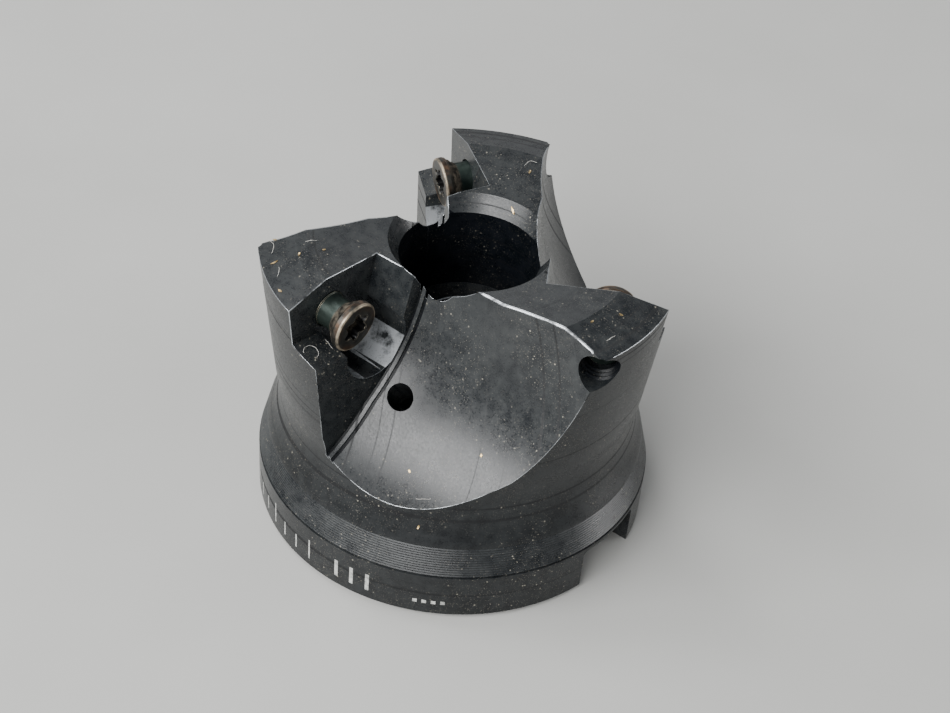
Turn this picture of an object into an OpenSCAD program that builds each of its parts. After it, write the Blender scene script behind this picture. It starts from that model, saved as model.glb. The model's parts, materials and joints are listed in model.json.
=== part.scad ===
// Shell-type face mill body for three indexable inserts, nose up, back face on z = 0.
// The cutter axis is the z axis. The drive slots lie along x.

/* [Flange] */
// Diameter of the flange band
flange_d = 50; // [48:0.5:52]
// Height of the straight flange band
band_h = 6.8; // [5:0.1:7]
// Height at which the ring-grooved cone ends
cone_top_z = 11.4; // [10.8:0.1:12]
// Radius at the top of the ring-grooved cone
cone_top_r = 23.8; // [23.4:0.1:24.2]
// Number of fine turned rings on the cone
ring_count = 12; // [4:1:16]
// Depth of each fine turned ring
ring_depth = 0.07; // [0.03:0.01:0.12]

/* [Head] */
// Radius where the neck hollow meets the flared head
neck_top_r = 23; // [22.6:0.1:23.4]
// Height where the neck hollow meets the flared head
neck_top_z = 20.4; // [19.5:0.1:21.5]
// Radius of the turned neck hollow
neck_hollow_r = 11; // [9:0.5:16]
// Corner radius position of a lobe, measured from the axis
lobe_r = 24.95; // [24.5:0.05:25]
// Height of the lobe corners
lobe_z = 37.7; // [37:0.1:38.5]
// Radius of the crease on the nose face
crease_r = 19.3; // [18.5:0.1:20]
// Height of the crease on the nose face
crease_z = 39.1; // [38.6:0.1:39.6]
// Height that the nose face would have on the axis
nose_centre_z = 37.5; // [37:0.1:38.2]

/* [Bore] */
// Arbor bore diameter
arbor_d = 22; // [22:0.01:22.02]
// Depth of the arbor bore from the back face
arbor_depth = 19; // [17:0.5:20]
// Diameter of the clamp screw hole through the web
clamp_d = 11; // [10.5:0.5:12]
// Diameter of the counterbore for the clamp screw head
counterbore_d = 17; // [16.8:0.1:17.6]
// Height of the counterbore floor
counterbore_z = 25.4; // [24:0.1:27]
// Radius of the lead-in at the nose
lead_in_r = 9.85; // [9.5:0.05:10]
// Depth of the lead-in at the nose
lead_in_h = 2.1; // [1:0.1:3]
// Width of each drive slot
slot_w = 10.4; // [10.4:0.01:10.6]
// Depth of each drive slot
slot_h = 6.3; // [5.6:0.1:6.5]
// Corner radius at the slot ceiling
slot_corner_r = 0.8; // [0.4:0.1:1]

/* [Insert pockets] */
// Direction of the first lobe, measured from the drive slot
first_lobe = 267; // [260:1:274]
// Insert seat plane, behind the lobe's radial line
seat_y = -5.85; // [-6.2:0.05:-5.5]
// Gullet side wall at the flank, behind the lobe's radial line
clear_y = -1.5; // [-1.8:0.05:-1.2]
// Turn of the gullet side wall from the lobe's radial line in degrees
clear_turn = 5.2; // [0:0.2:7]
// Height of the outer end of the lower wall, at the seat
shelf_z = 32.65; // [32.3:0.05:32.8]
// Lean of the lower wall away from the seat in degrees
shelf_lean = 12; // [8:0.5:16]
// Fall of the lower wall towards the axis in degrees
shelf_fall = 7.4; // [6:0.2:9]
// Distance of the inner wall from the axis, at the lower end
inner_wall_x = 11.45; // [11:0.05:12]
// Lean of the inner wall in degrees
inner_wall_lean = 14; // [10:0.5:16]
// Turn of the inner wall about its end at the seat in degrees
inner_wall_turn = 5; // [0:1:8]
// Radius of the corner relief
relief_r = 4.5; // [4.2:0.1:4.6]
// Distance of the corner relief from the axis
relief_x = 15; // [14.8:0.1:15.4]
// Height of the corner relief
relief_z = 30.5; // [30.2:0.1:30.8]

/* [Gullets] */
// Distance from the cutter axis to the gullet cutter
gullet_x = 33.3; // [32.8:0.1:34.2]
// Offset of the gullet cutter round the lobe
gullet_y = 20.1; // [19.5:0.1:21]
// Height of the gullet cutter
gullet_z = 39.7; // [39:0.1:40.5]
// Radius of the gullet cutter
gullet_r = 27.7; // [27:0.1:28.2]
// Crown radius of the gullet cutter
gullet_crown_r = 42.1; // [38:0.5:60]
// Lean of the gullet cutter in degrees
gullet_lean = 21; // [18:0.5:24]
// Distance from the cutter axis to the ball cut that opens the gullet into the counterbore
ball_x = 33.1; // [32.6:0.1:33.6]
// Offset of the ball cut round the lobe
ball_y = 8.8; // [8:0.1:9.6]
// Height of the ball cut
ball_z = 41.1; // [40.6:0.1:41.6]
// Radius of the ball cut
ball_r = 26.45; // [26:0.05:27]
// Coolant hole diameter
coolant_d = 3.2; // [2.5:0.1:3.6]

/* [Insert screws] */
// Distance of the insert screw from the cutter axis, at the seat
screw_x = 17.7; // [17.6:0.05:18]
// Height of the insert screw, at the seat
screw_z = 34.5; // [34.45:0.05:34.9]
// Downward lean of the insert screw, towards its head, in degrees
screw_lean = 5.2; // [4.5:0.1:6]
// Thread diameter of the insert screw
thread_d = 4.5; // [4:0.1:4.5]
// Diameter of the screw head
head_d = 6.3; // [5.8:0.05:6.35]
// Height of the cylindrical rim of the screw head
head_rim_h = 0.9; // [0.7:0.1:1.2]
// Height of the countersunk cone below the rim
head_cone_h = 1.3; // [1:0.1:1.5]
// Length of the plain shank below the cone
shank_len = 2.1; // [1.5:0.1:2.5]
// Length of the thread
thread_len = 5; // [4:0.5:6]
// How far the first loosened head face stands off its seat
stand_off_1 = 4.3; // [3:0.05:5]
// How far the second loosened head face stands off its seat
stand_off_2 = 3; // [3:0.05:5]
// How far the third loosened head face stands off its seat
stand_off_3 = 3.65; // [3:0.05:5]
// Width across the lobes of the six-lobe socket
socket_d = 3.8; // [3:0.1:4]
// Depth of the six-lobe socket
socket_h = 1.6; // [1:0.1:1.8]

/* [Hidden] */
$fn = 96;
body_colour = [0.13, 0.14, 0.16];
screw_colour = [0.30, 0.24, 0.20];
lobes = 3;
lobe_step = 360 / lobes;
flange_r = flange_d / 2;
back_chamfer = 0.6;
band_groove_w = 0.3;
band_groove_depth = 0.2;
bore_chamfer = 0.8;
slot_chamfer = 0.45;
far = 80;
eps = 0.01;
wall_tan = tan(inner_wall_lean);
shelf_tan = tan(shelf_lean);
// The lower wall's height is held at this distance from the axis.
shelf_x = 24.5;
pocket_reach = 9;
// The gullet side wall's place is held at this distance from the axis.
clear_x = 23.2;
pocket_floor_z = 20;
stand_offs = [stand_off_1, stand_off_2, stand_off_3];
thread_clearance = 0.05;
tapped_r = thread_d / 2 + thread_clearance;
tapped_over = 1;
thread_r = thread_d / 2;
shank_r = 2.1;
flutes = 6;
flute_r = 0.55;
// Grooves milled beside the pocket: distance from the gullet side wall, width, depth.
groove_steps = [[0, 0.42, 0.32], [0.8, 0.4, 0.22]];
relief_reach = 7;
gullet_turn = 2.7;
coolant_point = [14.9, 2.7, 25];
coolant_aim = [9.2, 0.9, 17.5];
coolant_over = 6;
ring_margin = 0.5;
crown_fn = 180;
corner_fn = 48;
flute_fn = 32;

// The neck hollow is an arc through the cone top and the neck top.
hollow_mid = [(cone_top_r + neck_top_r) / 2, (cone_top_z + neck_top_z) / 2];
hollow_run = [neck_top_r - cone_top_r, neck_top_z - cone_top_z];
hollow_half = norm(hollow_run) / 2;
hollow_out = sqrt(pow(neck_hollow_r, 2) - pow(hollow_half, 2));
hollow_centre = hollow_mid + hollow_out * [hollow_run[1], -hollow_run[0]] / norm(hollow_run);

// Zigzag outline of the fine turned rings, from the band up to the cone top.
cone_start_z = band_h + band_groove_w;
ring_pitch = (cone_top_z - cone_start_z - ring_margin) / ring_count;
function cone_r(z) = flange_r + (cone_top_r - flange_r) * (z - band_h) / (cone_top_z - band_h);
function ring_points(i) =
    let (z = cone_start_z + i * ring_pitch)
    [[cone_r(z), z], [cone_r(z + ring_pitch / 2) - ring_depth, z + ring_pitch / 2]];

module turned_blank() {
    rings = [for (i = [0 : ring_count - 1]) each ring_points(i)];
    rings_end_z = cone_start_z + ring_count * ring_pitch;
    outline = concat(
        [[0, 0], [flange_r - back_chamfer, 0], [flange_r, back_chamfer], [flange_r, band_h]],
        [[flange_r - band_groove_depth, band_h], [flange_r - band_groove_depth, cone_start_z]],
        rings,
        [[cone_r(rings_end_z), rings_end_z]],
        [[cone_top_r, cone_top_z], [neck_top_r, neck_top_z], [lobe_r, lobe_z]],
        [[crease_r, crease_z], [0, nose_centre_z]]);
    difference() {
        rotate_extrude() polygon(outline);
        rotate_extrude()
            translate(hollow_centre)
                circle(r = neck_hollow_r);
    }
}

module bore_cuts() {
    translate([0, 0, -eps]) cylinder(h = arbor_depth + eps, r = arbor_d / 2);
    translate([0, 0, -eps]) cylinder(h = far, r = clamp_d / 2);
    translate([0, 0, counterbore_z]) cylinder(h = far, r = counterbore_d / 2);
    translate([0, 0, -eps])
        cylinder(h = bore_chamfer + eps, r1 = arbor_d / 2 + bore_chamfer, r2 = arbor_d / 2);
    rim_z = nose_centre_z + (crease_z - nose_centre_z) * lead_in_r / crease_r;
    translate([0, 0, rim_z - lead_in_h])
        cylinder(h = lead_in_h, r1 = counterbore_d / 2, r2 = lead_in_r);
    translate([0, 0, rim_z - eps]) cylinder(h = far, r = lead_in_r);
}

// Outline of a drive slot looking along x: round ceiling corners, chamfered mouth.
module slot_outline() {
    half = slot_w / 2;
    polygon([
        [-half - slot_chamfer, -eps], [half + slot_chamfer, -eps],
        [half, slot_chamfer], [half, slot_h - slot_corner_r],
        [half - slot_corner_r, slot_h - slot_corner_r], [half - slot_corner_r, slot_h],
        [slot_corner_r - half, slot_h], [slot_corner_r - half, slot_h - slot_corner_r],
        [-half, slot_h - slot_corner_r], [-half, slot_chamfer]]);
    for (side = [-1, 1])
        translate([side * (half - slot_corner_r), slot_h - slot_corner_r])
            circle(r = slot_corner_r, $fn = corner_fn);
}

module drive_slots() {
    translate([-far / 2, 0, 0])
        rotate([90, 0, 90])
            linear_extrude(far)
                slot_outline();
}

// Crowned roller shape of the gullet cutter, grown by extra, axis along z.
module gullet_roller(extra) {
    rotate_extrude()
        intersection() {
            translate([gullet_r - gullet_crown_r, 0])
                circle(r = gullet_crown_r + extra, $fn = crown_fn);
            translate([0, -far / 2])
                square([far, far]);
        }
}

// Slab beside the gullet side wall, from distance start into the gullet.
module beside_wall(start, width) {
    translate([clear_x, clear_y, -eps])
        rotate([0, 0, -clear_turn])
            translate([-far / 2, start, 0])
                cube([far, width, far]);
}

// Crowned roller cut and ball cut, both grown by extra, within one slab.
module gullet_slab(extra, start, width) {
    intersection() {
        union() {
            translate([gullet_x, gullet_y, gullet_z])
                rotate([gullet_lean - 90, 0, gullet_turn])
                    gullet_roller(extra);
            translate([ball_x, ball_y, ball_z])
                sphere(r = ball_r + extra);
        }
        beside_wall(start, width);
    }
}

module gullet() {
    gullet_slab(0, 0, far);
    for (step = groove_steps)
        gullet_slab(step[2], step[0], step[1]);
}

// Space of the insert: seat plane, sloping lower wall, leaning inner wall, corner relief.
module insert_pocket() {
    intersection() {
        translate([shelf_x, 0, shelf_z])
            rotate([0, -shelf_fall, 0])
                translate([-far / 2, 0, 0])
                    rotate([90, 0, 90])
                        linear_extrude(far)
                            polygon([
                                [seat_y, 0], [seat_y, far], [seat_y + pocket_reach, far],
                                [seat_y + pocket_reach, -pocket_reach * shelf_tan]]);
        translate([inner_wall_x, seat_y, 0])
            rotate([90, 0, inner_wall_turn])
                linear_extrude(2 * far, center = true)
                    polygon([
                        [(shelf_z - pocket_floor_z) * wall_tan, pocket_floor_z],
                        [far, pocket_floor_z], [far, far],
                        [(shelf_z - far) * wall_tan, far]]);
    }
    intersection() {
        translate([relief_x, seat_y + relief_reach, relief_z])
            rotate([90, 0, 0])
                cylinder(h = relief_reach, r = relief_r);
        beside_wall(-far, far + eps);
    }
}

// Frame of an insert screw: origin on the seat, z along the screw towards its head.
module along_screw() {
    translate([screw_x, seat_y, screw_z])
        rotate([-90 - screw_lean, 0, 0])
            children();
}

module tapped_hole() {
    along_screw()
        translate([0, 0, -far / 2])
            cylinder(h = far / 2 + tapped_over, r = tapped_r);
}

module coolant_hole() {
    run = coolant_point - coolant_aim;
    tilt = atan2(norm([run[0], run[1]]), run[2]);
    turn = atan2(run[1], run[0]);
    translate(coolant_aim)
        rotate([0, tilt, turn])
            cylinder(h = norm(run) + coolant_over, r = coolant_d / 2);
}

module cutter_body() {
    color(body_colour)
        difference() {
            turned_blank();
            bore_cuts();
            drive_slots();
            for (k = [0 : lobes - 1])
                rotate([0, 0, first_lobe + k * lobe_step]) {
                    gullet();
                    insert_pocket();
                    tapped_hole();
                    coolant_hole();
                }
        }
}

// Screw with its head face at z = 0 and its shank pointing down.
module insert_screw() {
    cone_z = head_rim_h + head_cone_h;
    shank_z = cone_z + shank_len;
    difference() {
        union() {
            translate([0, 0, -head_rim_h]) cylinder(h = head_rim_h, r = head_d / 2);
            translate([0, 0, -cone_z]) cylinder(h = head_cone_h, r1 = shank_r, r2 = head_d / 2);
            translate([0, 0, -shank_z]) cylinder(h = shank_len, r = shank_r);
            translate([0, 0, -shank_z - thread_len]) cylinder(h = thread_len, r = thread_r);
        }
        translate([0, 0, -socket_h]) socket();
    }
}

// Six-lobe socket: a core with round flutes.
module socket() {
    flute_at = socket_d / 2 - flute_r;
    cylinder(h = socket_h + eps, r = flute_at);
    for (k = [0 : flutes - 1])
        rotate([0, 0, k * 360 / flutes])
            translate([flute_at, 0, 0])
                cylinder(h = socket_h + eps, r = flute_r, $fn = flute_fn);
}

module placed_screw(k) {
    color(screw_colour)
        rotate([0, 0, first_lobe + k * lobe_step])
            along_screw()
                translate([0, 0, stand_offs[k]])
                    insert_screw();
}

module insert_screw_1() { placed_screw(0); }
module insert_screw_2() { placed_screw(1); }
module insert_screw_3() { placed_screw(2); }

cutter_body();
insert_screw_1();
insert_screw_2();
insert_screw_3();
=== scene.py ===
"""Looks of the face mill: black-oxide body with worn edges, rusty insert screws, etched ticks and chips."""

import json
import math

import bmesh
import bpy
import numpy as np
from mathutils import Matrix, Quaternion, Vector
from mathutils.bvhtree import BVHTree


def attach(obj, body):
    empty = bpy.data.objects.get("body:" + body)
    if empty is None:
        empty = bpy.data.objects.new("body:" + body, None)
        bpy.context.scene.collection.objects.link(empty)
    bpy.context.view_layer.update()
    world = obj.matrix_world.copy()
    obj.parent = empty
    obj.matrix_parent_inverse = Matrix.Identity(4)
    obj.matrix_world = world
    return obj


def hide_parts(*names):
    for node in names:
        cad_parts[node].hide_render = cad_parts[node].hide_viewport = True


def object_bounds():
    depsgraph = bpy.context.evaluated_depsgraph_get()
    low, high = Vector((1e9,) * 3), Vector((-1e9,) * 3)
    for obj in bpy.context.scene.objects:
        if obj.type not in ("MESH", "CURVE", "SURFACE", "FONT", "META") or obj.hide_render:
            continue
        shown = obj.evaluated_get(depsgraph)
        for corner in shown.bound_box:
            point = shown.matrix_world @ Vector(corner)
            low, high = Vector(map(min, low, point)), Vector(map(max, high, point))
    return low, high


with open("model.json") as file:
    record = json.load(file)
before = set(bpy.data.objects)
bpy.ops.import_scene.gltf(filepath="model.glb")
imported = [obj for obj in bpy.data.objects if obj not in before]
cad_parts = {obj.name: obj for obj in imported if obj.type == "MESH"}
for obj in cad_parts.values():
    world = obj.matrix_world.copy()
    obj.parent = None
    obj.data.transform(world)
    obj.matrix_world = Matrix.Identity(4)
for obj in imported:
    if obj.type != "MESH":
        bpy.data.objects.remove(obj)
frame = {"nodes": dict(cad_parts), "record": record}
cad_low, cad_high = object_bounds()
nodes = frame["nodes"]
record = frame["record"]
mounts = {mount["name"]: mount for mount in record["mounts"]}
joints = {joint["child"]: joint for joint in record["behaviour"]["joints"]}

MM = 0.001
UP = Vector((0, 0, 1))
FLANGE_R = cad_high.x
SEATS = [mounts["insert_seat_%d" % number] for number in (1, 2, 3)]
SCREWS = ("insert_screw_1", "insert_screw_2", "insert_screw_3")
LOBES = range(len(SCREWS))


def seat_at(k):
    """Middle of a lobe's insert seat."""
    return Vector(SEATS[k]["pos_m"])


def screw_axis(k):
    """Direction in which a lobe's insert screw backs out."""
    return Vector(joints[SCREWS[k]]["axis"])


def lobe_frame(k):
    """Local frame of a lobe: x out along its radial line, y the way its seat faces."""
    facing = Vector(SEATS[k]["axis"])
    return facing.cross(UP), facing


lobe_frames = [lobe_frame(k) for k in LOBES]


# ---------------------------------------------------------------- camera

CAMERA_AT = Vector((0.09427, -0.13564, 0.15989))
CAMERA_HEADING = math.radians(34.19)
CAMERA_DROP = math.radians(40.16)
CAMERA_ROLL = math.radians(5.49)
CAMERA_LENS = 65.82
CAMERA_REACH = (0.01, 20)


def make_camera():
    level = math.cos(CAMERA_DROP)
    heading = (-math.sin(CAMERA_HEADING) * level, math.cos(CAMERA_HEADING) * level)
    forward = Vector((*heading, -math.sin(CAMERA_DROP)))
    side = forward.cross(UP).normalized()
    over = side.cross(forward)
    right = math.cos(CAMERA_ROLL) * side + math.sin(CAMERA_ROLL) * over
    top = math.cos(CAMERA_ROLL) * over - math.sin(CAMERA_ROLL) * side
    data = bpy.data.cameras.new("photo_camera")
    data.lens = CAMERA_LENS
    data.clip_start, data.clip_end = CAMERA_REACH
    camera = bpy.data.objects.new("photo_camera", data)
    bpy.context.collection.objects.link(camera)
    turn = Matrix((right, top, -forward)).transposed().to_4x4()
    camera.matrix_world = Matrix.Translation(CAMERA_AT) @ turn
    bpy.context.scene.camera = camera


# ---------------------------------------------------------------- node helpers


# Cosine between true and rounded normals: where an edge starts to show, and where it shows in full.
EDGE_TURN = (0.985, 0.9)


class Shader:
    """A small builder for one procedural material."""

    def __init__(self, name):
        self.material = bpy.data.materials.new(name)
        self.material.use_nodes = True
        self.tree = self.material.node_tree
        self.surface = self.tree.nodes["Principled BSDF"]

    def node(self, kind, **settings):
        made = self.tree.nodes.new(kind)
        for key, value in settings.items():
            if key in made.inputs:
                made.inputs[key].default_value = value
            else:
                setattr(made, key, value)
        return made

    def plug(self, source, target):
        self.tree.links.new(source, target)

    def place(self):
        return self.node("ShaderNodeTexCoord").outputs["Object"]

    def scaled(self, vector, scale):
        mapping = self.node("ShaderNodeMapping")
        mapping.inputs["Scale"].default_value = scale
        self.plug(vector, mapping.inputs["Vector"])
        return mapping.outputs["Vector"]

    def noise(self, vector, scale, detail=4, roughness=0.55):
        noise = self.node("ShaderNodeTexNoise")
        noise.inputs["Scale"].default_value = scale
        noise.inputs["Detail"].default_value = detail
        noise.inputs["Roughness"].default_value = roughness
        self.plug(vector, noise.inputs["Vector"])
        return noise.outputs["Fac"]

    def cells(self, vector, scale):
        cells = self.node("ShaderNodeTexVoronoi")
        cells.inputs["Scale"].default_value = scale
        self.plug(vector, cells.inputs["Vector"])
        return cells

    def ramp(self, value, low, high, to_low=0.0, to_high=1.0):
        ramp = self.node("ShaderNodeMapRange", clamp=True)
        for name, number in zip(("From Min", "From Max", "To Min", "To Max"), (low, high, to_low, to_high)):
            ramp.inputs[name].default_value = number
        self.plug(value, ramp.inputs["Value"])
        return ramp.outputs["Result"]

    def math(self, operation, a, b=None):
        made = self.node("ShaderNodeMath", operation=operation)
        for socket, value in zip(made.inputs, (a, b)):
            if isinstance(value, (int, float)):
                socket.default_value = value
            elif value is not None:
                self.plug(value, socket)
        return made.outputs["Value"]

    def mix(self, factor, a, b):
        mix = self.node("ShaderNodeMix", data_type="RGBA")
        self.plug(factor, mix.inputs["Factor"])
        for socket, value in ((mix.inputs["A"], a), (mix.inputs["B"], b)):
            if isinstance(value, tuple):
                socket.default_value = (*value, 1)
            else:
                self.plug(value, socket)
        return mix.outputs["Result"]

    def times(self, *values):
        product = values[0]
        for value in values[1:]:
            product = self.math("MULTIPLY", product, value)
        return product

    def length(self, a, b):
        return self.math("SQRT", self.math("ADD", self.math("POWER", a, 2), self.math("POWER", b, 2)))

    def dot(self, a, b):
        made = self.node("ShaderNodeVectorMath", operation="DOT_PRODUCT")
        self.plug(a, made.inputs[0])
        self.plug(b, made.inputs[1])
        return made.outputs["Value"]

    def edges(self, radius):
        """0 on open surfaces, rising to 1 on edges, from the difference of true and rounded normals."""
        bevel = self.node("ShaderNodeBevel", samples=8)
        bevel.inputs["Radius"].default_value = radius
        rounded = bevel.outputs["Normal"]
        true_normal = self.node("ShaderNodeNewGeometry").outputs["Normal"]
        return self.ramp(self.dot(rounded, true_normal), *EDGE_TURN), rounded

    def bump(self, height, strength, distance, normal=None):
        bump = self.node("ShaderNodeBump")
        bump.inputs["Strength"].default_value = strength
        bump.inputs["Distance"].default_value = distance
        self.plug(height, bump.inputs["Height"])
        if normal is not None:
            self.plug(normal, bump.inputs["Normal"])
        return bump.outputs["Normal"]

    def finish(self, colour, roughness, normal, **settings):
        for key, value in settings.items():
            self.surface.inputs[key.replace("_", " ")].default_value = value
        self.plug(colour, self.surface.inputs["Base Color"])
        self.plug(roughness, self.surface.inputs["Roughness"])
        self.plug(normal, self.surface.inputs["Normal"])
        return self.material


# ---------------------------------------------------------------- materials


DUST = (0.40, 0.37, 0.30)
# Pale steel colour: rubbed bare steel on broken edges, painted light on the corner relief.
WORN_AND_PAINTED_LIGHT_STEEL = (0.46, 0.48, 0.50)
MARK_BLACK = (0.003, 0.003, 0.004)
NO_WEAR = (0.9, 1.0)


def dust_on(s, place, amount):
    """Scattered specks in two sizes, where a broad noise lets dust settle."""
    area = s.ramp(s.noise(place, 130, 3, 0.6), 0.40, 0.6)
    coarse = s.cells(place, 1500)
    fine = s.cells(place, 4200)
    chosen = s.ramp(s.noise(place, 2100, 1, 0.5), 0.5, 0.56)
    speck = s.times(s.ramp(coarse.outputs["Distance"], 0.2, 0.1), chosen)
    powder = s.ramp(fine.outputs["Distance"], 0.24, 0.1, 0, 0.55)
    return s.times(s.math("MAXIMUM", speck, powder), area, amount)


def black_oxide(name, film_dark, film_grey, wear_and_painted_light_range, dust_share=1.0, specular=0.5, metal=0.8):
    """Black-oxide steel: mottled film, cutter marks, dust, and pale patches where noise passes the given range:
    rubbed bare steel on broken edges, painted light on the corner relief.
    """
    s = Shader(name)
    place = s.place()
    grain = s.node("ShaderNodeAttribute", attribute_name="grain").outputs["Vector"]
    mottle = s.noise(place, 640, 6, 0.66)
    cloud = s.noise(place, 95, 4, 0.6)
    pits = s.noise(place, 4200, 3, 0.6)
    marks = s.noise(s.scaled(grain, (1, 0.012, 1)), 2600, 3, 0.7)
    broad_marks = s.noise(s.scaled(grain, (1, 0.02, 1)), 520, 2, 0.5)
    deep_marks = s.ramp(s.noise(s.scaled(grain, (1, 0.003, 1)), 1500, 1, 0.5), 0.6, 0.66)

    film = s.mix(s.ramp(mottle, 0.38, 0.68), film_dark, film_grey)
    film = s.mix(s.ramp(cloud, 0.48, 0.75, 0, 0.45), film, tuple(1.5 * c for c in film_grey))
    film = s.mix(s.ramp(marks, 0.6, 0.78, 0, 0.3), film, tuple(2.2 * c for c in film_grey))
    film = s.mix(s.times(deep_marks, 0.55), film, MARK_BLACK)
    dust = dust_on(s, place, dust_share)
    film = s.mix(s.times(dust, 0.75), film, DUST)

    wear_and_painted_light = s.ramp(s.noise(place, 330, 4, 0.65), *wear_and_painted_light_range)
    colour = s.mix(wear_and_painted_light, film, WORN_AND_PAINTED_LIGHT_STEEL)
    roughness = s.ramp(mottle, 0.25, 0.75, 0.24, 0.36)
    roughness = s.math("ADD", roughness, s.ramp(cloud, 0.3, 0.75, -0.02, 0.03))
    roughness = s.math("ADD", roughness, s.ramp(pits, 0.35, 0.7, -0.05, 0.09))
    roughness = s.math("ADD", roughness, s.times(s.math("MAXIMUM", dust, deep_marks), 0.3))
    height = s.math("ADD", s.times(marks, 0.5), s.times(broad_marks, 0.8))
    height = s.math("ADD", height, s.times(s.math("ADD", mottle, pits), 0.45))
    s.plug(s.times(wear_and_painted_light, metal), s.surface.inputs["Metallic"])
    return s.finish(colour, roughness, s.bump(height, 0.4, 0.012 * MM), Specular_IOR_Level=specular)


def screw_steel():
    """Dark hardened steel with rust round the head, grime on the cone and an oily green shank, painted shade in
    the socket and a painted highlight on the head's rim.
    """
    s = Shader("screw_steel")
    place = s.place()
    split = s.node("ShaderNodeSeparateXYZ")
    s.plug(place, split.inputs[0])
    down = split.outputs["Z"]
    across = s.length(split.outputs["X"], split.outputs["Y"])
    mottle = s.noise(place, 900, 6, 0.65)
    blotch = s.noise(place, 350, 3, 0.6)
    colour = s.mix(s.ramp(mottle, 0.35, 0.68), (0.014, 0.014, 0.012), (0.058, 0.056, 0.048))

    rim_band = s.ramp(across, 2.1 * MM, 2.9 * MM)
    head_only = s.ramp(down, -1.25 * MM, -0.85 * MM)
    rust = s.mix(s.ramp(mottle, 0.4, 0.62), (0.050, 0.027, 0.015), (0.150, 0.082, 0.045))
    colour = s.mix(s.times(rim_band, head_only, s.ramp(blotch, 0.44, 0.62, 0, 0.9)), colour, rust)

    # Painted shade: the socket's recess is darkened towards black.
    socket_painted_shade = s.times(s.ramp(across, 1.98 * MM, 1.9 * MM), s.ramp(down, -0.03 * MM, -0.25 * MM))
    colour = s.mix(s.times(socket_painted_shade, 0.9), colour, (0.004, 0.004, 0.005))

    shank = s.ramp(down, -2.0 * MM, -2.4 * MM)
    oily = s.mix(s.ramp(blotch, 0.35, 0.65), (0.010, 0.018, 0.016), (0.042, 0.060, 0.051))
    colour = s.mix(shank, colour, oily)

    grime_amount = s.times(s.math("SUBTRACT", 1, shank), s.ramp(down, -0.95 * MM, -1.3 * MM))
    grime = s.mix(s.ramp(mottle, 0.4, 0.6), (0.020, 0.018, 0.015), (0.17, 0.145, 0.11))
    colour = s.mix(grime_amount, colour, grime)

    edge, rounded = s.edges(0.09 * MM)
    # Painted highlight: a pale brassy line round the outer rim of the head, on top of rubbed edges.
    painted_rim_highlight = s.times(s.ramp(across, 2.86 * MM, 2.95 * MM), s.ramp(down, -0.34 * MM, -0.22 * MM))
    wear_and_painted_light = s.times(s.math("MAXIMUM", edge, painted_rim_highlight), s.ramp(blotch, 0.4, 0.56, 0.08, 0.8))
    colour = s.mix(wear_and_painted_light, colour, (0.52, 0.44, 0.33))
    roughness = s.math("ADD", s.ramp(mottle, 0.3, 0.7, 0.30, 0.5), s.times(grime_amount, 0.3))
    normal = s.bump(s.math("ADD", mottle, blotch), 0.5, 0.05 * MM, rounded)
    return s.finish(colour, roughness, normal, Metallic=0.6, Specular_IOR_Level=0.6)


def etched():
    """Laser-etched pale grey, slightly broken up."""
    s = Shader("etched_pale")
    place = s.place()
    mottle = s.noise(place, 1800, 5, 0.7)
    colour = s.mix(s.ramp(mottle, 0.35, 0.6), (0.30, 0.31, 0.30), (0.72, 0.72, 0.69))
    return s.finish(colour, s.ramp(mottle, 0.3, 0.7, 0.45, 0.7), s.bump(mottle, 0.4, 0.01 * MM), Metallic=0.3)


def brass_chip():
    s = Shader("brass_chip")
    place = s.place()
    mottle = s.noise(place, 2500, 4, 0.6)
    colour = s.mix(s.ramp(mottle, 0.35, 0.65), (0.55, 0.38, 0.16), (0.86, 0.66, 0.36))
    return s.finish(colour, s.ramp(mottle, 0.3, 0.7, 0.25, 0.5), s.bump(mottle, 0.5, 0.02 * MM), Metallic=0.9)


def lint():
    s = Shader("lint_fibre")
    mottle = s.noise(s.place(), 3000, 3, 0.6)
    colour = s.mix(mottle, (0.55, 0.53, 0.48), (0.85, 0.84, 0.80))
    return s.finish(colour, s.ramp(mottle, 0.3, 0.7, 0.7, 0.9), s.bump(mottle, 0.3, 0.01 * MM))


def floor_material():
    s = Shader("pale_floor")
    place = s.place()
    cloud = s.noise(place, 9, 4, 0.6)
    colour = s.mix(s.ramp(cloud, 0.35, 0.7), (0.50, 0.50, 0.48), (0.57, 0.57, 0.55))
    roughness = s.ramp(cloud, 0.3, 0.7, 0.36, 0.44)
    normal = s.bump(s.noise(place, 900, 3, 0.5), 0.05, 0.02 * MM)
    return s.finish(colour, roughness, normal, Specular_IOR_Level=0.55)


# ---------------------------------------------------------------- mesh helpers


def new_piece(name, verts, faces, material, body, at=None):
    data = bpy.data.meshes.new(name)
    data.from_pydata([tuple(v) for v in verts], [], faces)
    data.validate()
    piece = bpy.data.objects.new(name, data)
    bpy.context.collection.objects.link(piece)
    data.materials.append(material)
    if at is not None:
        piece.matrix_world = at
    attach(piece, body)
    return piece


def rod_faces(start, rings, sides):
    """Faces of a closed rod whose rings of vertices follow one another, the first at index start."""
    faces = []
    for ring in range(start, start + (rings - 1) * sides, sides):
        for corner in range(sides):
            a, b = ring + corner, ring + (corner + 1) % sides
            faces.append((a, b, b + sides, a + sides))
    last = start + (rings - 1) * sides
    faces.append(tuple(reversed(range(start, start + sides))))
    faces.append(tuple(range(last, last + sides)))
    return faces


def faces_outwards(data):
    """Turn every face of a mesh outwards."""
    work = bmesh.new()
    work.from_mesh(data)
    bmesh.ops.recalc_face_normals(work, faces=work.faces)
    work.to_mesh(data)
    work.free()


def smooth_by_angle(piece, degrees):
    piece.data.shade_smooth()
    piece.data.set_sharp_from_angle(angle=math.radians(degrees))


# ---------------------------------------------------------------- cutter body

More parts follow.
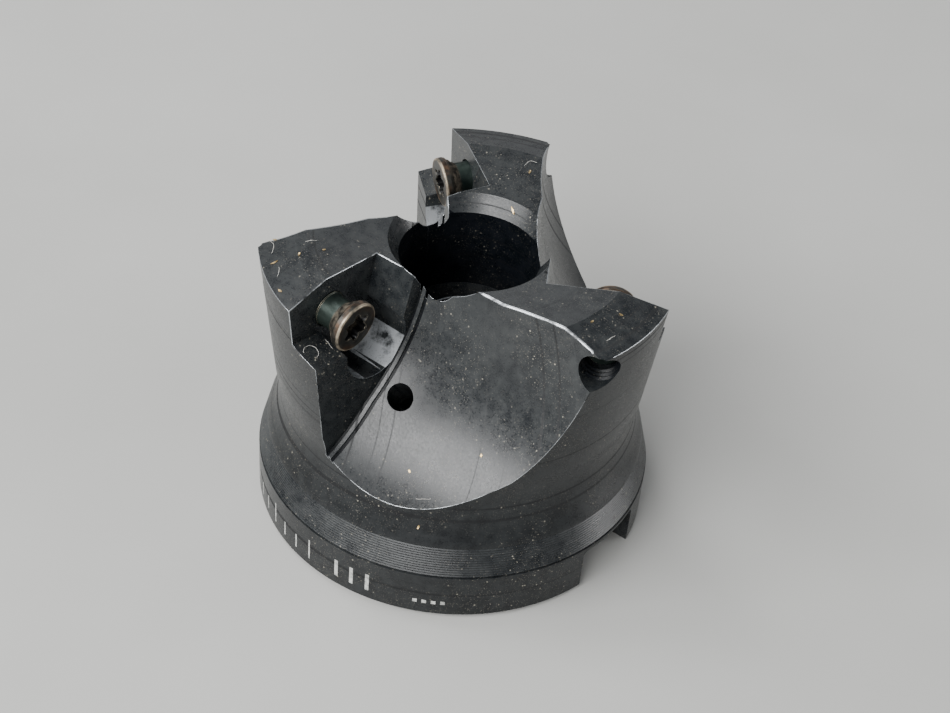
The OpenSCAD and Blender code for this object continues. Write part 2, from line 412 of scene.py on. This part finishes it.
# Broken edges: full width, least angle that is broken, and share of the width by place.
CHAMFER = 0.3 * MM
SHARP = math.radians(36)
GULLET_NOSE, POCKET_NOSE, CORNER, LOWER, BORE, CLAMP_RIM = 0.8, 0.28, 0.2, 0.1, 0.28, 0.6
LEAST_WORN_LOBE, LEAST_WORN = 2, 0.4
BEHIND_SEAT = -0.5 * MM
# Shading stays smooth across edges flatter than this.
MILLED_CREASE, TURNED_CREASE = math.radians(26), math.radians(13)
# Places on the body, as radii and heights.
NOSE_FROM = 33 * MM
NECK_FROM = 11.5 * MM
LEAD_IN_R = 10.4 * MM
COUNTERBORE_R = 8.6 * MM
COUNTERBORE_FROM = 20 * MM
TAPPED_HOLE_R = 2.3 * MM
TAPPED_RIM_R = TAPPED_HOLE_R * 1.06
CLAMP_RIM_R = mounts["clamp_screw_hole"]["dims"]["r_mm"] * MM * 1.02
OUTER_SIDE_FROM = COUNTERBORE_R * 1.3
LOBE_FROM = COUNTERBORE_R * 0.9
# Material slots of the body: plain milled steel and rubbed edges. Then a near-black film as painted shade in the
# counterbore, the grooves and the tapped threads, a darker film as painted shade on the outer turned sides, and
# pale patches as painted light on the upward-facing corner relief.
MILLED, WORN, RECESS_SHADE, SIDE_SHADE, RELIEF_LIGHT = range(5)
# Gullet side wall, the two grooves beside it and the corner relief, in a lobe's own frame.
WALL_AT = Vector((23.2, -1.5)) * MM
WALL_TURN = math.radians(5.2)
GROOVES = ((0.01 * MM, 0.41 * MM), (0.81 * MM, 1.19 * MM))
RELIEF_AT, RELIEF_R, RELIEF_BAND = Vector((15, 30.5)) * MM, 4.5 * MM, 0.05 * MM
POCKET_WIDTH = 5.2 * MM
# Roller and ball that sweep a gullet, in the same frame, and the width over which one becomes the other.
ROLLER_LEAN, ROLLER_TURN = math.radians(21), math.radians(2.7)
ROLLER_AT, ROLLER_R, CROWN_R = Vector((33.3, 20.1, 39.7)) * MM, 27.7 * MM, 42.1 * MM
ROLLER_AXIS = Matrix.Rotation(ROLLER_TURN, 3, "Z") @ Vector((0, math.cos(ROLLER_LEAN), math.sin(ROLLER_LEAN)))
BALL_AT, BALL_R = Vector((33.1, 8.8, 41.1)) * MM, 26.45 * MM
BLEND = 1.6 * MM
# How near the sweep, in distance and direction, a face belongs to it, and how near it is shaded like it.
ON_SWEEP, ON_SWEEP_MATCH = 0.04 * MM, 0.985
SWEEP_GAP, SWEEP_MATCH = 0.4 * MM, 0.95
# A turned face's normal has less than this along the tangent; a seat's has more than this along its facing.
TURNED_TOLERANCE = 0.06
SEAT_PARALLEL = 0.98
# Which side of a lobe's radial line its gullet and its metal lie on, as a slope.
GULLET_SIDE, METAL_SIDE = 0.8, -0.9


def radius_of(point):
    """Distance from the cutter axis."""
    return math.hypot(point.x, point.y)


def nearest_lobe(point, lean):
    """The lobe whose radial line, leaned towards its seat's facing side, lies nearest to a point."""
    radial = Vector((point.x, point.y, 0)).normalized()

    def closeness(k):
        out, facing = lobe_frames[k]
        return radial.dot((out + lean * facing).normalized())

    return max(LOBES, key=closeness)


def swept_normal(out, facing, point):
    """Normal of the swept gullet surface near a point, and how far the point lies from it."""
    local = Vector((point.dot(out), point.dot(facing), point.z))
    off = local - ROLLER_AT
    along = off.dot(ROLLER_AXIS)
    radial = off - ROLLER_AXIS * along
    crown = radial + radial.normalized() * (CROWN_R - ROLLER_R) + ROLLER_AXIS * along
    ball = local - BALL_AT
    roller_gap, ball_gap = crown.length - CROWN_R, ball.length - BALL_R
    share = min(1, max(0, 0.5 + (roller_gap - ball_gap) / BLEND))
    share = share * share * (3 - 2 * share)
    inward = -(ball.normalized() * share + crown.normalized() * (1 - share)).normalized()
    return out * inward.x + facing * inward.y + UP * inward.z, min(roller_gap, ball_gap)


def on_sweep(centre, normal):
    """True for a face of a gullet's swept surface."""
    if radius_of(centre) <= LEAD_IN_R:
        return False
    for out, facing in lobe_frames:
        sweep, gap = swept_normal(out, facing, centre)
        if abs(gap) < ON_SWEEP and sweep.dot(normal) > ON_SWEEP_MATCH:
            return True
    return False


def across_marks(centre, normal):
    """Direction across the tool marks of a milled face, or None for a turned face."""
    tangent = UP.cross(Vector((centre.x, centre.y, 0)).normalized())
    if abs(normal.dot(tangent)) < TURNED_TOLERANCE and not on_sweep(centre, normal):
        return None
    facing = lobe_frames[nearest_lobe(centre, GULLET_SIDE)][1]
    if abs(normal.dot(facing)) > SEAT_PARALLEL:
        return UP
    return (facing * math.cos(ROLLER_LEAN) + UP * math.sin(ROLLER_LEAN)).normalized()


def is_turned(face):
    return across_marks(face.calc_center_median(), face.normal) is None


def in_hole(point):
    """True if a point lies on the wall or rim of a tapped hole."""
    for k in LOBES:
        off, axis = point - seat_at(k), screw_axis(k)
        if (off - axis * off.dot(axis)).length < TAPPED_RIM_R:
            return True
    return False


def chamfer_weight(edge):
    """How wide the broken edge is here, 0 to 1: widest where a gullet meets the nose."""
    if len(edge.link_faces) != 2 or not edge.is_convex or edge.calc_face_angle(0) < SHARP:
        return 0
    ends = [v.co for v in edge.verts]
    middle = (ends[0] + ends[1]) / 2
    if radius_of(middle) < CLAMP_RIM_R and middle.z > COUNTERBORE_FROM:
        return CLAMP_RIM
    if middle.z < NECK_FROM or any(in_hole(end) for end in ends):
        return 0
    turned = [is_turned(face) for face in edge.link_faces]
    if radius_of(middle) < LEAD_IN_R:
        return BORE if middle.z > NOSE_FROM and any(turned) and not all(turned) else 0
    if not any(turned):
        return 0
    if middle.z < NOSE_FROM:
        return LOWER
    k = nearest_lobe(middle, METAL_SIDE)
    behind_seat = (middle - seat_at(k)).dot(lobe_frames[k][1]) < BEHIND_SEAT
    width = CORNER if all(turned) else GULLET_NOSE if behind_seat else POCKET_NOSE
    return width * (LEAST_WORN if k == LEAST_WORN_LOBE else 1)


def surface_kind(centre, normal):
    """Which of the body's materials a face has."""
    radius = radius_of(centre)
    if across_marks(centre, normal) is None:
        # Painted shade: the counterbore walls get the near-black film.
        if radius < COUNTERBORE_R and centre.z > COUNTERBORE_FROM and abs(normal.z) < 0.9:
            return RECESS_SHADE
        # Painted shade: the outer turned sides get a darker film.
        return SIDE_SHADE if abs(normal.z) < 0.5 and radius > OUTER_SIDE_FROM else MILLED
    for out, facing in lobe_frames:
        x, y = centre.dot(out), centre.dot(facing)
        if x < LOBE_FROM or abs(normal.dot(facing)) > 0.9:
            continue
        off_wall = (y - WALL_AT.y) * math.cos(WALL_TURN) + (x - WALL_AT.x) * math.sin(WALL_TURN)
        # Painted shade: the grooves beside the gullet wall get the near-black film.
        if any(low < off_wall < high for low, high in GROOVES):
            return RECESS_SHADE
        off_relief = math.hypot(x - RELIEF_AT.x, centre.z - RELIEF_AT.y) - RELIEF_R
        # Painted light: the upward-facing part of the corner relief gets pale, less metallic patches.
        if -POCKET_WIDTH < off_wall < 0 and abs(off_relief) < RELIEF_BAND and normal.z > 0.2:
            return RELIEF_LIGHT
    return MILLED


def welded(source):
    """The CAD mesh with its split corners joined and no stored normals."""
    work = bmesh.new()
    work.from_mesh(source)
    bmesh.ops.remove_doubles(work, verts=work.verts, dist=0.002 * MM)
    bmesh.ops.dissolve_degenerate(work, edges=work.edges, dist=0.001 * MM)
    bmesh.ops.recalc_face_normals(work, faces=work.faces)
    work.verts.ensure_lookup_table()
    data = bpy.data.meshes.new("milled_body")
    data.from_pydata([v.co[:] for v in work.verts], [], [[v.index for v in f.verts] for f in work.faces])
    work.free()
    return data


def mark_edges(data):
    """Store how wide each edge is broken, and which edges are creases."""
    work = bmesh.new()
    work.from_mesh(data)
    weight = work.edges.layers.float.new("bevel_weight_edge")
    for edge in work.edges:
        edge[weight] = chamfer_weight(edge)
        turned = any(is_turned(face) for face in edge.link_faces)
        edge.smooth = edge.calc_face_angle(0) < (TURNED_CREASE if turned else MILLED_CREASE)
    for face in work.faces:
        face.smooth = True
    work.to_mesh(data)
    work.free()


def store_grain(data):
    """Where each corner lies across and along its face's tool marks, in metres."""
    grain = data.attributes.new("grain", "FLOAT_VECTOR", "CORNER")
    values = np.zeros((len(data.loops), 3), np.float32)
    for face in data.polygons:
        across = across_marks(face.center, face.normal)
        for corner in face.loop_indices:
            p = data.vertices[data.loops[corner].vertex_index].co
            if across is None:
                r = radius_of(p)
                values[corner] = (r + p.z, math.atan2(p.y, p.x) * r, 0)
            else:
                values[corner] = (p.dot(across), p.dot(across.cross(UP)), 0.1)
    grain.data.foreach_set("vector", values.ravel())


def bake_body(piece):
    """Apply the modifiers and give each gullet the smooth normals of one sweep."""
    baked = bpy.data.meshes.new_from_object(piece.evaluated_get(bpy.context.evaluated_depsgraph_get()))
    piece.modifiers.clear()
    piece.data = baked
    normals = [tuple(n.vector) for n in baked.corner_normals]
    for face in baked.polygons:
        if face.material_index == WORN or radius_of(face.center) < COUNTERBORE_R:
            continue
        for out, facing in lobe_frames:
            sweep, gap = swept_normal(out, facing, face.center)
            if abs(gap) < SWEEP_GAP and sweep.dot(face.normal) > SWEEP_MATCH:
                for corner in face.loop_indices:
                    spot = baked.vertices[baked.loops[corner].vertex_index].co
                    normals[corner] = tuple(swept_normal(out, facing, spot)[0])
                break
    baked.normals_split_custom_set(normals)


def make_body(materials):
    """The CAD body's own shape, welded, its edges broken, with the direction of its tool marks stored."""
    data = welded(nodes["cutter_body"].data)
    mark_edges(data)
    for material in materials:
        data.materials.append(material)
    for face in data.polygons:
        face.material_index = surface_kind(face.center, face.normal)
    store_grain(data)
    piece = bpy.data.objects.new("milled_body", data)
    bpy.context.collection.objects.link(piece)
    bevel = piece.modifiers.new("broken_edges", "BEVEL")
    bevel.limit_method = "WEIGHT"
    bevel.width = CHAMFER
    bevel.segments = 2
    bevel.profile = 0.6
    bevel.use_clamp_overlap = False
    bevel.material = WORN
    even = piece.modifiers.new("even_shading", "WEIGHTED_NORMAL")
    even.keep_sharp = True
    bake_body(piece)
    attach(piece, "cutter_body")
    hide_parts("cutter_body")


# ---------------------------------------------------------------- insert screws

# Radii, and lengths along the axis.
HEAD_R, HEAD_EDGE = 3.15 * MM, 0.22 * MM
HEAD_RIM, HEAD_CONE, CONE_RIPPLE = 0.9 * MM, 1.3 * MM, 0.05 * MM
SHANK_R, SHANK_LEN, SHANK_WAIST = 2.1 * MM, 2.1 * MM, 0.06 * MM
THREAD_R, THREAD_ROOT, THREAD_LEN = 2.25 * MM, 0.28 * MM, 5 * MM
TIP_R, TIP_TAPER, TIP_SLOPE = 0.4 * MM, 0.6 * MM, 0.8
PITCH = 0.75 * MM
SOCKET_MEAN, SOCKET_WAVE, SOCKET_DEPTH = 1.58 * MM, 0.30 * MM, 1.6 * MM
# Root and flank of the thread, as shares of its pitch.
ROOT_SHARE, FLANK_SHARE = 0.12, 0.7
# Points round the screw, and rows of points on each part.
ROUND = 120
EDGE_ROWS, CONE_ROWS, SHANK_ROWS, ROWS_PER_TURN = 4, 8, 8, 10


def socket_radius(angle):
    """Outline of the six-lobe socket."""
    wave = math.cos(6 * angle)
    return SOCKET_MEAN + SOCKET_WAVE * math.copysign(abs(wave) ** 0.75, wave)


def thread_radius(angle, depth):
    """Crest, flanks and root of a 60 degree thread that fades in at its upper end."""
    phase = (depth / PITCH - angle / (2 * math.pi)) % 1
    flank = min(1, max(0, (abs(phase - 0.5) * 2 - ROOT_SHARE) / FLANK_SHARE))
    fade = min(1, depth / PITCH)
    return THREAD_R - THREAD_ROOT * (1 - flank) * fade


def screw_rows():
    """Rows of the screw's surface, as (radius by angle, height), from the socket floor to the tip."""
    def plain(radius):
        return lambda angle: radius

    def socket(clear):
        return lambda angle: socket_radius(angle) + clear

    def thread(depth, taper):
        return lambda angle: thread_radius(angle, depth) - taper

    # Socket floor, wall and mouth, then the flat top of the head.
    rows = [(plain(0.3 * MM), -SOCKET_DEPTH * 1.06),
            (plain(1.15 * MM), -SOCKET_DEPTH),
            (socket(-0.04 * MM), -SOCKET_DEPTH),
            (socket(0), -SOCKET_DEPTH + 0.05 * MM),
            (socket(0), -0.14 * MM),
            (socket(0.12 * MM), -0.02 * MM),
            (plain(2.3 * MM), 0),
            (plain(HEAD_R - 0.42 * MM), -0.01 * MM)]
    for step in range(EDGE_ROWS + 1):
        turn = step / EDGE_ROWS * math.pi / 2
        edge_r = HEAD_R - HEAD_EDGE + HEAD_EDGE * math.sin(turn)
        rows.append((plain(edge_r), -HEAD_EDGE + HEAD_EDGE * math.cos(turn)))
    rows += [(plain(HEAD_R), -HEAD_RIM + 0.06 * MM), (plain(HEAD_R - 0.05 * MM), -HEAD_RIM)]
    for step in range(1, CONE_ROWS):
        share = step / CONE_ROWS
        ripple = CONE_RIPPLE * math.sin(share * 5 * math.pi)
        rows.append((plain(HEAD_R + (SHANK_R - HEAD_R) * share + ripple), -HEAD_RIM - HEAD_CONE * share))
    neck = HEAD_RIM + HEAD_CONE
    for step in range(SHANK_ROWS + 1):
        share = step / SHANK_ROWS
        rows.append((plain(SHANK_R - SHANK_WAIST * math.sin(math.pi * share)), -neck - SHANK_LEN * share))
    start = neck + SHANK_LEN
    thread_rows = int(THREAD_LEN / PITCH * ROWS_PER_TURN)
    for step in range(1, thread_rows + 1):
        depth = THREAD_LEN * step / thread_rows
        taper = TIP_SLOPE * max(0, depth - THREAD_LEN + TIP_TAPER)
        rows.append((thread(depth, taper), -start - depth))
    rows.append((plain(TIP_R), -start - THREAD_LEN))
    return rows


def reach_along(name, k):
    """How far each point of a CAD node lies from a lobe's seat along its screw's axis, and off that axis."""
    seat, axis = seat_at(k), screw_axis(k)
    offsets = [vertex.co - seat for vertex in nodes[name].data.vertices]
    return [(off.dot(axis), (off - axis * off.dot(axis)).length) for off in offsets]


def on_screw_axis(k, reach=0):
    """Placement whose z axis is a lobe's screw axis, that far out from its seat."""
    axis = screw_axis(k)
    return Matrix.Translation(seat_at(k) + axis * reach) @ axis.to_track_quat("Z", "X").to_matrix().to_4x4()


def make_screw(k, material):
    name = SCREWS[k]
    head_at = max(reach_along(name, k))[0]
    verts = []
    rows = screw_rows()
    for radius, z in rows:
        for step in range(ROUND):
            angle = 2 * math.pi * step / ROUND
            r = radius(angle)
            verts.append((r * math.cos(angle), r * math.sin(angle), z))
    faces = rod_faces(0, len(rows), ROUND)
    at = on_screw_axis(k, head_at)
    piece = new_piece(name + "_detailed", verts, faces, material, name, at)
    faces_outwards(piece.data)
    smooth_by_angle(piece, 38)
    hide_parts(name)


# ---------------------------------------------------------------- threads in the tapped holes

CREST_R = 2.02 * MM
THREAD_OVERLAP = 0.02 * MM
# Half widths of the thread's crest and foot, as shares of its pitch.
CREST_HALF, FOOT_HALF = 0.06, 0.33
TAPPED_STEPS = 48
CLEAR_OF_TIP = 0.3 * MM
DEEPEST = -30 * MM


def make_tapped_thread(k, material):
    """Thread crests in the far end of a tapped hole, past the deepest reach of its screw."""
    tip = min(reach_along(SCREWS[k], k))[0] + joints[SCREWS[k]]["range_m"][0]
    hole = [along for along, off in reach_along("cutter_body", k)
            if abs(off - TAPPED_HOLE_R) < 0.01 * MM and DEEPEST < along < tip]
    top, bottom = tip - CLEAR_OF_TIP, max(hole)
    foot_r = TAPPED_HOLE_R + THREAD_OVERLAP
    profile = ((foot_r, FOOT_HALF), (CREST_R, CREST_HALF), (CREST_R, -CREST_HALF), (foot_r, -FOOT_HALF))
    steps = int((top - bottom) / PITCH * TAPPED_STEPS)
    verts = []
    for step in range(steps + 1):
        angle = 2 * math.pi * step / TAPPED_STEPS
        z = top - PITCH * step / TAPPED_STEPS
        for r, rise in profile:
            verts.append((r * math.cos(angle), r * math.sin(angle), z + rise * PITCH))
    faces = rod_faces(0, steps + 1, len(profile))
    name = "tapped_thread_%d" % (k + 1)
    piece = new_piece(name, verts, faces, material, "cutter_body", on_screw_axis(k))
    smooth_by_angle(piece, 30)


# ---------------------------------------------------------------- etched ticks on the band

TICK_PROUD = 0.006 * MM
COLUMN_WIDTH = 0.25 * MM
# Count, first bearing and spacing in degrees, foot and width in mm; then the heights, taken in turn, in mm.
SCALE_TICKS, SCALE_HEIGHTS = (7, 229, 5.8, 1.7, 0.24), (3.2, 2.2, 2.2)
BOLD_TICKS, BOLD_HEIGHTS = (3, 274, 5, 1.9, 0.5), (2.7,)
DOTS, DOT_HEIGHTS = (4, 298, 2.6, 2.2, 0.55), (0.55,)


def band_patch(verts, faces, angle, z0, z1, width):
    """A thin pad on the band, width and heights in metres."""
    start = len(verts)
    half = width / FLANGE_R / 2
    columns = max(2, int(width / COLUMN_WIDTH) + 1)
    r = FLANGE_R + TICK_PROUD
    for column in range(columns):
        a = angle - half + 2 * half * column / (columns - 1)
        for z in (z0, z1):
            verts.append((r * math.cos(a), r * math.sin(a), z))
    for column in range(columns - 1):
        i = start + column * 2
        faces.append((i, i + 2, i + 3, i + 1))


def make_band_ticks(material):
    """Generic setting-out marks: a short scale, three bold ticks and a row of dots."""
    verts, faces = [], []
    for group, heights in ((SCALE_TICKS, SCALE_HEIGHTS), (BOLD_TICKS, BOLD_HEIGHTS), (DOTS, DOT_HEIGHTS)):
        count, first, spacing, foot, width = group
        for tick in range(count):
            angle = math.radians(first) + tick * math.radians(spacing)
            height = heights[tick % len(heights)]
            band_patch(verts, faces, angle, foot * MM, (foot + height) * MM, width * MM)
    new_piece("band_ticks", verts, faces, material, "cutter_body")


# ---------------------------------------------------------------- chips and lint lying on the body

# Lobe, place out along it and across it in mm, length in mm, turn in degrees.
CHIPS = ((0, 19.5, -13.0, 0.9, 20), (0, 17.0, -11.5, 0.5, 75), (0, 22.5, -9.0, 0.6, 130),
         (0, 14.5, -10.0, 0.4, 10), (0, 16.5, -16.0, 0.5, 160), (0, 20.0, 11.5, 0.5, 40),
         (0, 17.5, 7.5, 0.4, 95), (2, 11.0, -11.5, 0.6, 60), (2, 5.6, -7.4, 1.0, 85),
         (1, 16.0, -12.0, 0.4, 35), (1, 19.0, -9.5, 0.5, 150), (0, 12.5, 14.0, 0.4, 60))
CHIP_COLUMNS, CHIP_THICK = 7, 0.03
# Half width at the ends and its swell in the middle, lift off the surface and curl, in mm.
CHIP_END, CHIP_SWELL, CHIP_LIFT, CHIP_CURL = 0.05, 0.07, 0.03, 0.3
# Lobe, place out and across in mm, length in mm, turn and curl in degrees.
FIBRES = ((0, 22.6, -3.0, 3.6, 190, 240), (0, 19.6, -4.6, 1.6, 60, 35), (0, 18.5, -14.5, 2.4, 200, 60),
          (0, 21.0, -11.0, 1.6, 200, 40), (0, 15.0, -12.5, 1.5, 110, 80), (2, 12.5, -13.0, 1.8, 60, 70),
          (0, 19.0, 10.0, 1.8, 100, 45), (1, 18.0, -14.0, 1.4, 30, 50))
FIBRE_COLUMNS, FIBRE_SIDES, FIBRE_R = 22, 5, 0.022 * MM
FIBRE_LIFT, FIBRE_ARCH = 0.04, 0.25
DROP_FROM = 60 * MM


def body_tree():
    body = nodes["cutter_body"].data
    return BVHTree.FromPolygons([v.co[:] for v in body.vertices], [f.vertices[:] for f in body.polygons])


def landing(tree, k, out_mm, across_mm):
    """Where something dropped onto the body comes to rest, and the surface normal there."""
    out, facing = lobe_frames[k]
    start = (out * out_mm + facing * across_mm) * MM + UP * DROP_FROM
    return tree.ray_cast(start, -UP)[:2]


def make_chips(tree, material):
    """Small curled brass flakes."""
    verts, faces = [], []
    for k, out_mm, across_mm, length, turn in CHIPS:
        point, normal = landing(tree, k, out_mm, across_mm)
        along = normal.orthogonal().normalized()
        along.rotate(Quaternion(normal, math.radians(turn)))
        side = normal.cross(along)
        start = len(verts)
        for column in range(CHIP_COLUMNS):
            share = column / (CHIP_COLUMNS - 1)
            half = (CHIP_END + CHIP_SWELL * math.sin(math.pi * share)) * MM
            rise = (CHIP_LIFT + CHIP_CURL * length * (share - 0.4) ** 2) * MM
            middle = point + along * (share - 0.5) * length * MM + normal * rise
            for sideways, lift in ((-1, 0), (1, 0), (1, CHIP_THICK), (-1, CHIP_THICK)):
                verts.append(middle + side * half * sideways + normal * lift * MM)
        faces += rod_faces(start, CHIP_COLUMNS, 4)
    new_piece("brass_chips", verts, faces, material, "cutter_body")


def make_fibres(tree, material):
    """Thin curled lint fibres laid over the surface."""
    verts, faces = [], []
    for k, out_mm, across_mm, length, turn, curl in FIBRES:
        out, facing = lobe_frames[k]
        start = len(verts)
        heading = math.radians(turn)
        step = length / (FIBRE_COLUMNS - 1)
        for column in range(FIBRE_COLUMNS):
            point = landing(tree, k, out_mm, across_mm)[0]
            lift = (FIBRE_LIFT + FIBRE_ARCH * math.sin(math.pi * column / (FIBRE_COLUMNS - 1)) ** 2) * MM
            along = out * math.cos(heading) + facing * math.sin(heading)
            side = along.cross(UP)
            for corner in range(FIBRE_SIDES):
                angle = 2 * math.pi * corner / FIBRE_SIDES
                verts.append(point + UP * lift + (side * math.cos(angle) + UP * math.sin(angle)) * FIBRE_R)
            out_mm += step * math.cos(heading)
            across_mm += step * math.sin(heading)
            heading += math.radians(curl) / (FIBRE_COLUMNS - 1)
        faces += rod_faces(start, FIBRE_COLUMNS, FIBRE_SIDES)
    piece = new_piece("lint_fibres", verts, faces, material, "cutter_body")
    smooth_by_angle(piece, 80)


# ---------------------------------------------------------------- stage

FLOOR_HALF, FLOOR_CELLS, FLOOR_GAP = 1.6, 8, 0.02 * MM
WORLD_COLOUR, WORLD_STRENGTH = (0.93, 0.96, 1, 1), 0.22
AIM = Vector((0, 0, 0.02))
CAMERA_SIDE = 34.2
# Name, bearing from the camera's side and height in degrees, distance and size in metres, power in watts.
SOFTBOXES = (("window_box", -46, 38, 0.9, (1.0, 0.42), 16),
             ("front_low_box", -4, 20, 0.9, (0.3, 0.12), 0.8),
             ("high_left_box", -118, 60, 0.8, (0.30, 0.30), 2.2),
             ("right_box", 92, 12, 0.9, (0.45, 0.25), 3),
             ("back_box", 178, 24, 0.9, (0.8, 0.25), 0.8))


def make_floor(material):
    verts, faces = [], []
    for i in range(FLOOR_CELLS + 1):
        for j in range(FLOOR_CELLS + 1):
            x, y = (-FLOOR_HALF + 2 * FLOOR_HALF * step / FLOOR_CELLS for step in (i, j))
            verts.append((x, y, 0))
    for i in range(FLOOR_CELLS):
        for j in range(FLOOR_CELLS):
            a = i * (FLOOR_CELLS + 1) + j
            faces.append((a, a + FLOOR_CELLS + 1, a + FLOOR_CELLS + 2, a + 1))
    data = bpy.data.meshes.new("pale_floor")
    data.from_pydata(verts, [], faces)
    floor = bpy.data.objects.new("pale_floor", data)
    bpy.context.collection.objects.link(floor)
    floor.location.z = cad_low.z - FLOOR_GAP
    data.materials.append(material)


def make_softbox(name, bearing, height_angle, distance, size, power):
    """A soft light aimed at the cutter; a bearing of 0 looks along +Y, as the camera's heading does."""
    a, e = math.radians(bearing), math.radians(height_angle)
    back = Vector((math.sin(a) * math.cos(e), -math.cos(a) * math.cos(e), math.sin(e)))
    data = bpy.data.lights.new(name, "AREA")
    data.shape = "RECTANGLE"
    data.size, data.size_y = size
    data.energy = power
    light = bpy.data.objects.new(name, data)
    bpy.context.collection.objects.link(light)
    light.location = AIM + back * distance
    light.rotation_euler = (-back).to_track_quat("-Z", "Y").to_euler()


def light_stage():
    world = bpy.data.worlds.new("studio")
    bpy.context.scene.world = world
    world.use_nodes = True
    background = world.node_tree.nodes["Background"]
    background.inputs["Color"].default_value = WORLD_COLOUR
    background.inputs["Strength"].default_value = WORLD_STRENGTH
    for name, turn, *rest in SOFTBOXES:
        make_softbox(name, CAMERA_SIDE + turn, *rest)


# ---------------------------------------------------------------- build

make_camera()
FILM_DARK, FILM_GREY = (0.010, 0.012, 0.014), (0.030, 0.033, 0.034)
# Near-black film as painted shade in the counterbore, the grooves and the tapped threads.
RECESS_SHADE_DARK, RECESS_SHADE_GREY = (0.002, 0.003, 0.004), (0.005, 0.006, 0.008)
# Darker film as painted shade on the outer turned sides.
SIDE_SHADE_DARK, SIDE_SHADE_GREY = (0.006, 0.007, 0.008), (0.017, 0.019, 0.020)
oxide = black_oxide("black_oxide_steel", FILM_DARK, FILM_GREY, NO_WEAR)
worn_oxide = black_oxide("worn_edge_steel", FILM_DARK, FILM_GREY, (0.36, 0.5), dust_share=0.5)
recess_shade_oxide = black_oxide("recess_painted_shade_steel", RECESS_SHADE_DARK, RECESS_SHADE_GREY, NO_WEAR, dust_share=0.3, specular=0.12)
side_shade_oxide = black_oxide("turned_side_painted_shade_steel", SIDE_SHADE_DARK, SIDE_SHADE_GREY, NO_WEAR, dust_share=0.9, specular=0.3)
# Pale, less metallic patches as painted light on the corner relief.
relief_light_oxide = black_oxide("relief_painted_light_steel", FILM_DARK, FILM_GREY, (0.34, 0.5), dust_share=0.5, metal=0.25)
screws = screw_steel()
make_body((oxide, worn_oxide, recess_shade_oxide, side_shade_oxide, relief_light_oxide))
for k in LOBES:
    make_screw(k, screws)
    make_tapped_thread(k, recess_shade_oxide)
make_band_ticks(etched())
resting_on = body_tree()
make_chips(resting_on, brass_chip())
make_fibres(resting_on, lint())
make_floor(floor_material())
light_stage()
